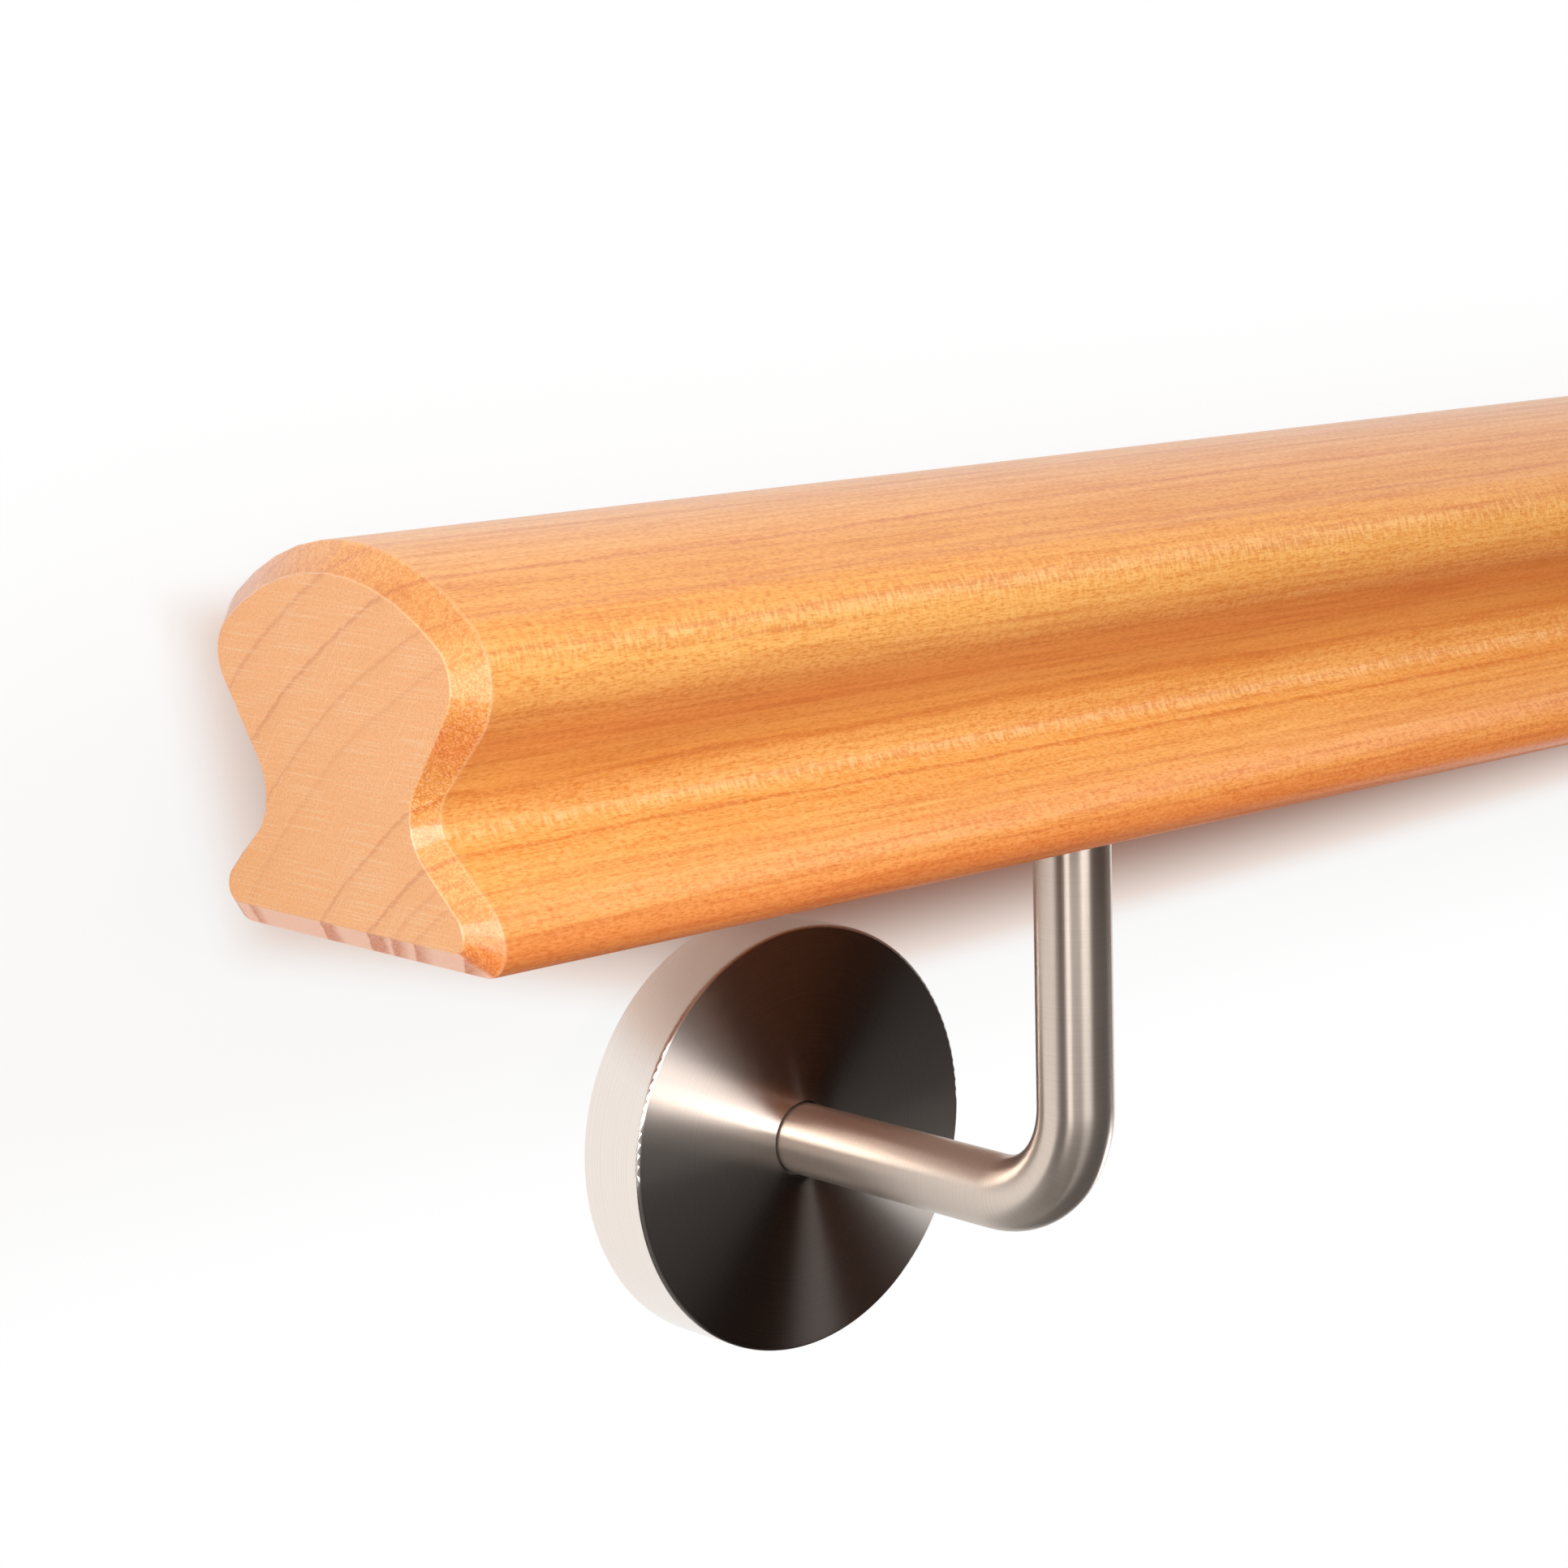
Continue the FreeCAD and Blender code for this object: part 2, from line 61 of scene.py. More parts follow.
# Patterns of the wood: how far apart along the rail, across it and up, in millimetres, then how
# many finer octaves, and how strong these are
PATTERNS = {
    "wander": ((83.33, 50.0, 50.0), 2.0, 0.5),
    "wobble": ((6.667, 1.667, 1.667), 3.0, 0.5),
    # Golden wood beside deeper wood
    "drift": ((166.7, 16.67, 16.67), 2.0, 0.5),
    # Fibres: streaks half as wide as they are apart, and centimetres long
    "fibre": ((33.33, 0.9091, 0.9091), 5.0, 0.65),
    # Pores: real ones are 0.05 mm wide, and these are as fine as still show
    "pore": ((1.0, 0.2381, 0.2381), 3.0, 0.5),
    # Speckle of end grain, as fine as still shows
    "grain": ((0.3125, 0.3125, 0.3125), 2.0, 0.6),
    # Scratches of the sanding block on the sawn end, from front to back
    "scratch": ((math.inf, 12.5, 0.18182), 3.0, 0.5),
}
# A few more scratches lie aslant, by this angle in radians
STRAY_SIZES = (math.inf, 20.0, 0.15385)
STRAY_ANGLE = 0.9

# Patterns of the steel pieces, in millimetres. The real ground and brushed lines are 0.02 mm
# apart; these are as fine as still show.
BAR_LINES = 0.41667
BAR_CLOUDS = 8.3333
CAP_LINES = 0.25
ZINC_SPANGLE = 2.5

# Painted shade on the varnished wood, by height above the underside: darker and redder in the waist's hollow
# and along the lower edges, where shade falls, and a deeper gold across the head's shoulder
TINTS = (
    (0, "#F8C5B3"), (2, "#F8C5B3"), (3.5, "#F9CCBC"), (5.5, "#FBE2D5"), (8, "#FCEAE2"),
    (10, "#FEFAF9"), (12, "#FFFFFF"), (17, "#FFFFFF"), (18.5, "#FEF8F6"), (23, "#FDF0EC"),
    (25, "#F8E4DD"), (26.5, "#F5D6CB"), (28, "#F4CABC"), (31, "#F6D3C6"), (36, "#FDF6F0"),
    (39, "#FAF5E9"), (41, "#F7EEDC"), (42.5, "#F2E4C6"), (47.5, "#F2E4C6"), (49, "#FAF2E4"),
    (51, "#FDFBF8"), (52, "#FFFFFF"),
)
# The sawn end reaches this deep, in millimetres
SAWN_SKIN = 0.05

# Most values of a noise lie between these two
USUAL_NOISE = {1: 0.3, 2: 0.7}


# Where the hanging object lies in the frame

def hanging_to_frame():
    """Turn and shift that take a point of the hanging object, in metres, to where it lies."""
    mount = next(m for m in frame["record"]["mounts"] if m["name"] == "wall_face_left")
    to_wall = Vector(mount["axis"])
    turn = Matrix.Rotation(math.atan2(to_wall.z, to_wall.y), 4, "X")
    plate = Vector((0, WALL_DISTANCE, -ROD_DROP)) * MM
    shift = Vector((0, mount["pos_m"][1], mount["pos_m"][2])) - turn @ plate
    return Matrix.Translation(shift) @ turn


LYING = hanging_to_frame()


# Nodes

def linear(hex_colour):
    """A linear colour from an sRGB hex value."""
    channels = [int(hex_colour[i:i + 2], 16) / 255 for i in (1, 3, 5)]
    return tuple(c / 12.92 if c <= 0.04045 else ((c + 0.055) / 1.055) ** 2.4 for c in channels) + (1.0,)


def add(tree, kind, inputs=None, **settings):
    """A node with its settings; its inputs, by name or number, are values, sockets or nodes."""
    node = tree.nodes.new(kind)
    for name, value in settings.items():
        setattr(node, name, value)
    for key, value in (inputs or {}).items():
        if isinstance(value, bpy.types.Node):
            value = next(socket for socket in value.outputs if socket.enabled)
        if isinstance(value, bpy.types.NodeSocket):
            tree.links.new(value, node.inputs[key])
        else:
            node.inputs[key].default_value = value
    return node


def new_material(name):
    """A material, and its node tree with nothing in it yet."""
    material = bpy.data.materials.new(name)
    material.use_nodes = True
    material.node_tree.nodes.clear()
    return material, material.node_tree


def hanging_point(tree):
    """The surface point in millimetres, as the object hangs."""
    where = add(tree, "ShaderNodeTexCoord")
    return add(tree, "ShaderNodeMapping", {
        "Vector": where.outputs["Object"],
        "Location": LYING.to_translation(),
        "Rotation": LYING.to_euler(),
        "Scale": (MM, MM, MM),
    }, vector_type="TEXTURE")


def hanging_side(tree):
    """The way that the surface faces, as the object hangs."""
    where = add(tree, "ShaderNodeTexCoord")
    return add(tree, "ShaderNodeVectorRotate", {
        "Vector": where.outputs["Normal"], "Rotation": LYING.to_euler(),
    }, rotation_type="EULER_XYZ", invert=True)


# Cherry wood

def wood_patterns(tree, point):
    """The noise of each pattern of the wood, by name."""
    patterns = {}
    for name, (sizes, octaves, roughness) in PATTERNS.items():
        stretched = add(tree, "ShaderNodeVectorMath", {
            0: point, 1: [1 / size for size in sizes]}, operation="MULTIPLY")
        patterns[name] = add(tree, "ShaderNodeTexNoise", {
            "Vector": stretched, "Scale": 1.0, "Detail": octaves, "Roughness": roughness})
    return patterns


def ring_distance(tree, from_heart, patterns):
    """How far from the heart the wood grew: plain distance, bent as the rings wander and wobble."""
    radius = add(tree, "ShaderNodeVectorMath", {0: from_heart}, operation="LENGTH")
    wandered = add(tree, "ShaderNodeMath", {
        0: patterns["wander"], 1: RING_WANDER, 2: radius}, operation="MULTIPLY_ADD")
    wobbled = add(tree, "ShaderNodeMath", {
        0: patterns["wobble"], 1: RING_WOBBLE, 2: wandered}, operation="MULTIPLY_ADD")
    return add(tree, "ShaderNodeMath", {
        0: wobbled, 1: (RING_WANDER + RING_WOBBLE) / 2}, operation="SUBTRACT")


def ring_shade(tree, grown, width):
    """Each ring darkens outwards over the width and ends at a sharp line."""
    span = RING_SPAN[1] - RING_SPAN[0]
    place = add(tree, "ShaderNodeMapRange", {"Value": grown, 1: RING_SPAN[0], 2: RING_SPAN[1]})
    ramp = add(tree, "ShaderNodeValToRGB", {"Fac": place})
    stops = ramp.color_ramp.elements
    stops[0].color = stops[1].color = (0, 0, 0, 1)
    for ring, depth in RINGS:
        for at, value in ((ring - width, 0.0), (ring, depth), (ring + RING_END, 0.0)):
            stop = stops.new((at - RING_SPAN[0]) / span)
            stop.color = (value, value, value, 1)
    return ramp


def ray_flecks(tree, point, side, from_heart, grown):
    """Shares of bright and of dull flecks, where the surface cuts the rays.

    Rays are thin sheets that run straight out from the heart, along the grain. They show as rows
    of flecks where the surface runs along them, and as fine scales elsewhere.
    """
    along = add(tree, "ShaderNodeSeparateXYZ", {0: point})
    heart_axes = add(tree, "ShaderNodeSeparateXYZ", {0: from_heart})
    around = add(tree, "ShaderNodeMath", {
        0: heart_axes.outputs[2], 1: heart_axes.outputs[1]}, operation="ARCTAN2")
    ray_place = add(tree, "ShaderNodeCombineXYZ", {
        0: add(tree, "ShaderNodeMath", {0: along, 1: RAY_LENGTH}, operation="DIVIDE"),
        1: add(tree, "ShaderNodeMath", {0: grown, 1: RAY_DEPTH}, operation="DIVIDE"),
        2: add(tree, "ShaderNodeMath", {0: around, 1: RAYS_PER_RADIAN}, operation="MULTIPLY"),
    })
    ray = add(tree, "ShaderNodeTexNoise", {"Vector": ray_place, "Scale": 1.0, "Detail": 1.0})
    outwards = add(tree, "ShaderNodeVectorMath", {0: from_heart}, operation="NORMALIZE")
    off_ray = add(tree, "ShaderNodeMath", {
        0: add(tree, "ShaderNodeVectorMath", {0: side, 1: outwards}, operation="DOT_PRODUCT"),
    }, operation="ABSOLUTE")
    along_ray = add(tree, "ShaderNodeMapRange", {
        "Value": off_ray, 1: 0.02, 2: 0.36, 3: 0.31, 4: 0.0}, interpolation_type="SMOOTHSTEP")
    older = add(tree, "ShaderNodeMapRange", {"Value": grown, 1: FLECKS_FROM[0], 2: FLECKS_FROM[1]})
    fleck = add(tree, "ShaderNodeMath", {0: along_ray, 1: older, 2: 0.14}, operation="MULTIPLY_ADD")
    shining = add(tree, "ShaderNodeMath", {
        0: fleck, 1: add(tree, "ShaderNodeMapRange", {"Value": ray, 1: 0.48, 2: 0.66}),
    }, operation="MULTIPLY")
    dull = add(tree, "ShaderNodeMath", {
        0: fleck, 1: add(tree, "ShaderNodeMapRange", {"Value": ray, 1: 0.48, 2: 0.34, 4: 0.8}),
    }, operation="MULTIPLY")
    return shining, dull


def painted_shade_by_height(tree, point):
    """Painted shade by height: the tint that darkens and reddens the wood where shade falls."""
    height = add(tree, "ShaderNodeSeparateXYZ", {0: point}).outputs[2]
    painted_shade_tint = add(tree, "ShaderNodeValToRGB", {
        "Fac": add(tree, "ShaderNodeMath", {0: height, 1: RAIL_HEIGHT}, operation="DIVIDE")})
    stops = painted_shade_tint.color_ramp.elements
    stops[0].color = linear(TINTS[0][1])
    stops[1].color = linear(TINTS[-1][1])
    for level, colour in TINTS[1:-1]:
        stops.new(level / RAIL_HEIGHT).color = linear(colour)
    return painted_shade_tint


def ringed_wood(tree, patterns, line, late):
    """Golden wood, streaked by its fibres, with late wood and ring lines."""
    fibre = patterns["fibre"]
    wood = add(tree, "ShaderNodeMix", {
        0: add(tree, "ShaderNodeMapRange", {"Value": patterns["drift"], 1: 0.35, 2: 0.65}),
        6: linear("#F5B45E"), 7: linear("#EBA24A"),
    }, data_type="RGBA")
    for share, colour in (
        (add(tree, "ShaderNodeMapRange", {"Value": fibre, 1: 0.47, 2: 0.72, 4: 0.56}), "#CC681C"),
        (add(tree, "ShaderNodeMapRange", {"Value": fibre, 1: 0.50, 2: 0.25, 4: 0.60}), "#FBC274"),
        (add(tree, "ShaderNodeMath", {0: late, 1: 0.09}, operation="MULTIPLY"), "#CC7228"),
        (add(tree, "ShaderNodeMath", {0: line, 1: 0.85}, operation="MULTIPLY"), "#CA6214"),
    ):
        wood = add(tree, "ShaderNodeMix", {0: share, 6: wood, 7: linear(colour)}, data_type="RGBA")
    return wood


def planed_face(tree, ringed, pore, flecks, painted_shade_tint):
    """Long faces: pores and flecks over the ringed wood, under the painted shade by height."""
    shining, dull = flecks
    wood = ringed
    for share, colour in (
        (add(tree, "ShaderNodeMapRange", {"Value": pore, 1: 0.50, 2: 0.70, 4: 0.56}), "#D0680C"),
        (add(tree, "ShaderNodeMapRange", {"Value": pore, 1: 0.50, 2: 0.30, 4: 0.33}), "#FDCB84"),
        (shining, "#FBCF90"),
        (dull, "#D9853C"),
    ):
        wood = add(tree, "ShaderNodeMix", {0: share, 6: wood, 7: linear(colour)}, data_type="RGBA")
    return add(tree, "ShaderNodeMix", {
        0: 1.0, 6: wood, 7: painted_shade_tint}, data_type="RGBA", blend_type="MULTIPLY")


def bevel_face(tree, ringed, grain, leaning, painted_shade_tint):
    """Bevel: end grain cut at a slant, deeper orange and speckled, most of all under the head, where the
    pale specks are partly painted glints; the painted shade by height lies over it.
    """
    dark = add(tree, "ShaderNodeMix", {
        0: add(tree, "ShaderNodeMapRange", {"Value": grain, 1: 0.48, 2: 0.66, 3: 0.18, 4: 0.48}),
        6: ringed, 7: linear("#BF6420"),
    }, data_type="RGBA")
    # Pale specks: end grain, and partly painted glints, strongest where the bevel faces down
    speckled = add(tree, "ShaderNodeMix", {
        0: add(tree, "ShaderNodeMath", {
            0: add(tree, "ShaderNodeMapRange", {"Value": grain, 1: 0.50, 2: 0.34, 4: 0.50}),
            1: add(tree, "ShaderNodeMapRange", {"Value": leaning, 1: -0.3, 2: 0.1, 3: 1.0, 4: 0.5}),
        }, operation="MULTIPLY"),
        6: dark, 7: linear("#FFDBAE"),
    }, data_type="RGBA")
    return add(tree, "ShaderNodeMix", {
        0: 0.9, 6: speckled, 7: painted_shade_tint}, data_type="RGBA", blend_type="MULTIPLY")


def banded_strip(tree, grain, late):
    """The bevel's lower strip: cut straight across the rings, it shows pink and brown bands."""
    bands = add(tree, "ShaderNodeMix", {
        0: add(tree, "ShaderNodeMapRange", {"Value": late, 1: 0.04, 2: 0.30}),
        6: linear("#FFC9AE"), 7: linear("#DC8A64"),
    }, data_type="RGBA")
    return add(tree, "ShaderNodeMix", {
        0: add(tree, "ShaderNodeMapRange", {"Value": grain, 1: 0.50, 2: 0.34, 4: 0.50}),
        6: bands, 7: linear("#FFDFCC"),
    }, data_type="RGBA")


def sawn_end(tree, point, patterns, line, late):
    """End face: peach, with thin ring lines and the scratches of the sanding block."""
    aslant = add(tree, "ShaderNodeVectorRotate", {
        "Vector": point, "Angle": STRAY_ANGLE}, rotation_type="X_AXIS")
    rubbed = add(tree, "ShaderNodeVectorMath", {
        0: aslant, 1: [1 / size for size in STRAY_SIZES]}, operation="MULTIPLY")
    stray = add(tree, "ShaderNodeTexNoise", {"Vector": rubbed, "Scale": 1.0, "Detail": 2.0})
    scratch, grain = patterns["scratch"], patterns["grain"]
    wood = linear("#E6A466")
    for share, colour in (
        (add(tree, "ShaderNodeMath", {0: late, 1: 0.22}, operation="MULTIPLY"), "#CC8442"),
        (add(tree, "ShaderNodeMath", {0: line, 1: 0.85}, operation="MULTIPLY"), "#C06C28"),
        (add(tree, "ShaderNodeMapRange", {"Value": scratch, 1: 0.52, 2: 0.66, 4: 0.45}), "#EAC79D"),
        (add(tree, "ShaderNodeMapRange", {"Value": stray, 1: 0.61, 2: 0.70, 4: 0.42}), "#EACBA5"),
        (add(tree, "ShaderNodeMapRange", {"Value": grain, 1: 0.46, 2: 0.66, 4: 0.55}), "#C98A54"),
    ):
        wood = add(tree, "ShaderNodeMix", {0: share, 6: wood, 7: linear(colour)}, data_type="RGBA")
    return wood


def pale_edge_bands(tree, from_end):
    """Share of paler wood in thin bands where the bevel meets the other faces."""
    at_long_faces = add(tree, "ShaderNodeMath", {0: from_end, 1: BEVEL_LENGTH, 2: 0.22}, operation="COMPARE")
    return add(tree, "ShaderNodeMath", {
        0: add(tree, "ShaderNodeMapRange", {"Value": from_end, 1: 0.30, 2: 0.10, 4: 0.40}),
        1: add(tree, "ShaderNodeMapRange", {"Value": at_long_faces, 4: 0.14}),
    }, operation="MAXIMUM")


def varnished_cherry():
    """Cherry, planed and sanded, with a satin varnish.

    To the eye: golden orange with thin reddish ring lines, fine streaks along the grain, and
    rows of small shining flecks where the cut runs along the rays. The sawn ends are peach
    coloured and duller, with sanding scratches; the bevel round them is speckled end grain.
    """
    material, tree = new_material("varnished_cherry")
    point = hanging_point(tree)
    side = hanging_side(tree)
    axes = add(tree, "ShaderNodeSeparateXYZ", {0: point})
    leaning = add(tree, "ShaderNodeSeparateXYZ", {0: side}).outputs[2]
    patterns = wood_patterns(tree, point)
    across = add(tree, "ShaderNodeVectorMath", {0: point, 1: (0, 1, 1)}, operation="MULTIPLY")
    from_heart = add(tree, "ShaderNodeVectorMath", {0: across, 1: HEART}, operation="SUBTRACT")
    grown = ring_distance(tree, from_heart, patterns)
    line = ring_shade(tree, grown, LINE_WIDTH)
    late = ring_shade(tree, grown, LATE_WIDTH)

    # Painted shade: darker and redder in the waist's hollow and along the lower edges
    painted_shade_tint = painted_shade_by_height(tree, point)
    ringed = ringed_wood(tree, patterns, line, late)
    flecks = ray_flecks(tree, point, side, from_heart, grown)
    down = add(tree, "ShaderNodeMapRange", {"Value": leaning, 1: -0.56, 2: -0.66})
    bevel = add(tree, "ShaderNodeMix", {
        0: down,
        6: bevel_face(tree, ringed, patterns["grain"], leaning, painted_shade_tint),
        7: banded_strip(tree, patterns["grain"], late),
    }, data_type="RGBA")

    from_end = add(tree, "ShaderNodeMath", {
        0: RAIL_HALF_LENGTH, 1: add(tree, "ShaderNodeMath", {0: axes.outputs[0]}, operation="ABSOLUTE"),
    }, operation="SUBTRACT")
    on_bevel = add(tree, "ShaderNodeMath", {0: from_end, 1: BEVEL_LENGTH}, operation="LESS_THAN")
    on_end = add(tree, "ShaderNodeMath", {0: from_end, 1: SAWN_SKIN}, operation="LESS_THAN")
    with_bevel = add(tree, "ShaderNodeMix", {
        0: on_bevel, 6: planed_face(tree, ringed, patterns["pore"], flecks, painted_shade_tint), 7: bevel,
    }, data_type="RGBA")
    with_edges = add(tree, "ShaderNodeMix", {
        0: pale_edge_bands(tree, from_end), 6: with_bevel, 7: linear("#FCD8AE"),
    }, data_type="RGBA")
    colour = add(tree, "ShaderNodeMix", {
        0: on_end, 6: with_edges, 7: sawn_end(tree, point, patterns, line, late),
    }, data_type="RGBA")

    relief = add(tree, "ShaderNodeMath", {0: patterns["fibre"], 1: patterns["pore"]}, operation="ADD")
    bump = add(tree, "ShaderNodeBump", {"Height": relief, "Strength": 0.08, "Distance": 0.0003})
    satin = add(tree, "ShaderNodeMapRange", {"Value": patterns["fibre"], **USUAL_NOISE, 3: 0.36, 4: 0.48})
    rough = add(tree, "ShaderNodeMath", {0: on_end, 1: 0.2, 2: satin}, operation="MULTIPLY_ADD")
    # The strip that faces down soaked its varnish up, and on sharp lower edges it ran thin
    soaked = add(tree, "ShaderNodeMath", {0: down, 1: on_bevel}, operation="MULTIPLY")
    thin = add(tree, "ShaderNodeMapRange", {"Value": axes.outputs[2], 1: 1.2, 2: 0.3})
    bare = add(tree, "ShaderNodeMath", {0: soaked, 1: thin}, operation="MAXIMUM")
    wood = add(tree, "ShaderNodeBsdfPrincipled", {
        "Base Color": colour, "Roughness": rough, "IOR": 1.5, "Normal": bump,
        "Specular IOR Level": add(tree, "ShaderNodeMapRange", {"Value": bare, 3: 0.5, 4: 0.1}),
        "Coat Weight": add(tree, "ShaderNodeMath", {
            0: add(tree, "ShaderNodeMapRange", {"Value": on_bevel, 3: 0.6, 4: 1.0}), 1: bare,
        }, operation="SUBTRACT", use_clamp=True),
        "Coat Roughness": add(tree, "ShaderNodeMapRange", {"Value": on_bevel, 3: 0.30, 4: 0.13}),
    })
    add(tree, "ShaderNodeOutputMaterial", {"Surface": wood})
    return material


# Steel

def round_the_rod(tree, point, in_plane):
    """Straight out from the bar's middle line, so that stripes of light run clean round the bend."""
    along = add(tree, "ShaderNodeSeparateXYZ", {0: point})
    middle = add(tree, "ShaderNodeMath", {
        0: add(tree, "ShaderNodeMath", {0: along}, operation="SIGN"), 1: BRACKET_X}, operation="MULTIPLY")
    beside = add(tree, "ShaderNodeMath", {0: along, 1: middle}, operation="SUBTRACT")
    inwards = add(tree, "ShaderNodeMath", {
        0: ROD_BEND_RADIUS, 1: add(tree, "ShaderNodeVectorMath", {0: in_plane}, operation="LENGTH"),
    }, operation="SUBTRACT")
    outwards = add(tree, "ShaderNodeVectorMath", {
        0: add(tree, "ShaderNodeVectorMath", {0: in_plane}, operation="NORMALIZE"),
        1: add(tree, "ShaderNodeCombineXYZ", {0: inwards, 1: inwards, 2: inwards}),
        2: add(tree, "ShaderNodeCombineXYZ", {0: beside}),
    }, operation="MULTIPLY_ADD")
    return add(tree, "ShaderNodeVectorRotate", {
        "Vector": add(tree, "ShaderNodeVectorMath", {0: outwards}, operation="NORMALIZE"),
        "Rotation": LYING.to_euler()}, rotation_type="EULER_XYZ")


def ground_rod_steel():
    """Stainless round bar, ground while it turned: lines round it, long sharp stripes of light."""
    material, tree = new_material("ground_stainless_bar")
    point = hanging_point(tree)
    # Before the bend's centre and below it: which way the bar runs at this point
    beyond = add(tree, "ShaderNodeVectorMath", {
        0: (0, ROD_BEND_RADIUS, ROD_BEND_RADIUS - ROD_DROP), 1: point}, operation="SUBTRACT")
    outside = add(tree, "ShaderNodeVectorMath", {0: beyond, 1: (0, 0, 0)}, operation="MAXIMUM")
    past = add(tree, "ShaderNodeVectorMath", {0: beyond, 1: (0, 0, 0)}, operation="MINIMUM")
    in_plane = add(tree, "ShaderNodeVectorMath", {0: outside, 1: (0, 1, 1)}, operation="MULTIPLY")
    along = add(tree, "ShaderNodeVectorMath", {0: in_plane, 1: (1, 0, 0)}, operation="CROSS_PRODUCT")
    tangent = add(tree, "ShaderNodeVectorRotate", {
        "Vector": along, "Rotation": LYING.to_euler()}, rotation_type="EULER_XYZ")
    # Distance run along the bar: up the leg, round the bend and on to the wall
    parts = add(tree, "ShaderNodeSeparateXYZ", {0: outside})
    legs = add(tree, "ShaderNodeSeparateXYZ", {0: past})
    bend = add(tree, "ShaderNodeMath", {0: parts.outputs[2], 1: parts.outputs[1]}, operation="ARCTAN2")
    run = add(tree, "ShaderNodeMath", {
        0: bend, 1: ROD_BEND_RADIUS,
        2: add(tree, "ShaderNodeMath", {0: legs.outputs[2], 1: legs.outputs[1]}, operation="SUBTRACT"),
    }, operation="MULTIPLY_ADD")
    line = add(tree, "ShaderNodeTexNoise", {
        "Vector": add(tree, "ShaderNodeCombineXYZ", {0: run}), "Scale": 1 / BAR_LINES, "Detail": 1.0})
    cloud = add(tree, "ShaderNodeTexNoise", {"Vector": point, "Scale": 1 / BAR_CLOUDS, "Detail": 3.0})
    tone = add(tree, "ShaderNodeMix", {
        0: add(tree, "ShaderNodeMapRange", {"Value": line, **USUAL_NOISE}),
        6: linear("#DACBBE"), 7: linear("#E0D3C7"),
    }, data_type="RGBA")
    bump = add(tree, "ShaderNodeBump", {
        "Height": line, "Strength": 0.018, "Distance": 0.0001,
        "Normal": round_the_rod(tree, point, in_plane)})
    # The ground lines scatter a little light all round, so the dark side isn't black. The picture's
    # noise filter takes steel under a roughness of 0.274 for a mirror and leaves marks on it.
    steel = add(tree, "ShaderNodeBsdfPrincipled", {
        "Base Color": tone, "Metallic": 0.88,
        "Roughness": add(tree, "ShaderNodeMapRange", {"Value": cloud, **USUAL_NOISE, 3: 0.28, 4: 0.30}),
        "Anisotropic": 0.75, "Tangent": tangent, "Normal": bump,
    })
    add(tree, "ShaderNodeOutputMaterial", {"Surface": steel})
    return material


def turned_rosette_steel():
    """Stainless cap, brushed in circles while it turned: light fans out from its centre."""
    material, tree = new_material("turned_stainless_cap")
    point = hanging_point(tree)
    axes = add(tree, "ShaderNodeSeparateXYZ", {0: point})
    hand = add(tree, "ShaderNodeMath", {0: axes.outputs[0]}, operation="SIGN")
    centre = add(tree, "ShaderNodeCombineXYZ", {
        0: add(tree, "ShaderNodeMath", {0: hand, 1: BRACKET_X}, operation="MULTIPLY"), 2: -ROD_DROP})
    from_axis = add(tree, "ShaderNodeVectorMath", {
        0: add(tree, "ShaderNodeVectorMath", {0: point, 1: centre}, operation="SUBTRACT"),
        1: (1, 0, 1)}, operation="MULTIPLY")
    radius = add(tree, "ShaderNodeVectorMath", {0: from_axis}, operation="LENGTH")
    outwards = add(tree, "ShaderNodeVectorMath", {0: from_axis}, operation="NORMALIZE")
    # Across the lines: outwards on the flat front, along the axis on the rim
    across = add(tree, "ShaderNodeVectorMath", {0: outwards, 1: (0, 1, 0)}, operation="ADD")
    tangent = add(tree, "ShaderNodeVectorRotate", {
        "Vector": across, "Rotation": LYING.to_euler()}, rotation_type="EULER_XYZ")
    line = add(tree, "ShaderNodeTexNoise", {
        "Vector": add(tree, "ShaderNodeCombineXYZ", {0: radius, 1: axes.outputs[1]}),
        "Scale": 1 / CAP_LINES, "Detail": 2.0, "Roughness": 0.7})
    tone = add(tree, "ShaderNodeMix", {
        0: add(tree, "ShaderNodeMapRange", {"Value": line, **USUAL_NOISE}),
        6: linear("#ECE1D8"), 7: linear("#F8F0E9"),
    }, data_type="RGBA")
    # The front is brushed; the rim is polished over its lines
    facing = add(tree, "ShaderNodeSeparateXYZ", {0: hanging_side(tree)})
    finish = add(tree, "ShaderNodeMapRange", {
        "Value": add(tree, "ShaderNodeMath", {0: facing.outputs[1]}, operation="ABSOLUTE"),
        1: 0.3, 2: 0.7, 3: 0.5, 4: 1.0})
    brushed = add(tree, "ShaderNodeMapRange", {"Value": line, **USUAL_NOISE, 3: 0.285, 4: 0.34})
    steel = add(tree, "ShaderNodeBsdfPrincipled", {
        "Base Color": tone, "Metallic": 1.0,
        "Roughness": add(tree, "ShaderNodeMath", {0: brushed, 1: finish}, operation="MULTIPLY"),
        "Anisotropic": finish, "Tangent": tangent,
    })
    add(tree, "ShaderNodeOutputMaterial", {"Surface": steel})
    return material


def zinc_plated_steel():
    """Pressed steel with bright zinc: faint spangle, slightly blue."""
    material, tree = new_material("bright_zinc_plating")
    point = hanging_point(tree)
    cloud = add(tree, "ShaderNodeTexNoise", {"Vector": point, "Scale": 1 / ZINC_SPANGLE, "Detail": 3.0})
    tone = add(tree, "ShaderNodeMix", {
        0: add(tree, "ShaderNodeMapRange", {"Value": cloud, **USUAL_NOISE}),
        6: linear("#B4B8BC"), 7: linear("#D2D4D2"),
    }, data_type="RGBA")
    steel = add(tree, "ShaderNodeBsdfPrincipled", {
        "Base Color": tone, "Metallic": 1.0,
        "Roughness": add(tree, "ShaderNodeMapRange", {"Value": cloud, **USUAL_NOISE, 3: 0.30, 4: 0.42}),
    })
    add(tree, "ShaderNodeOutputMaterial", {"Surface": steel})
    return material


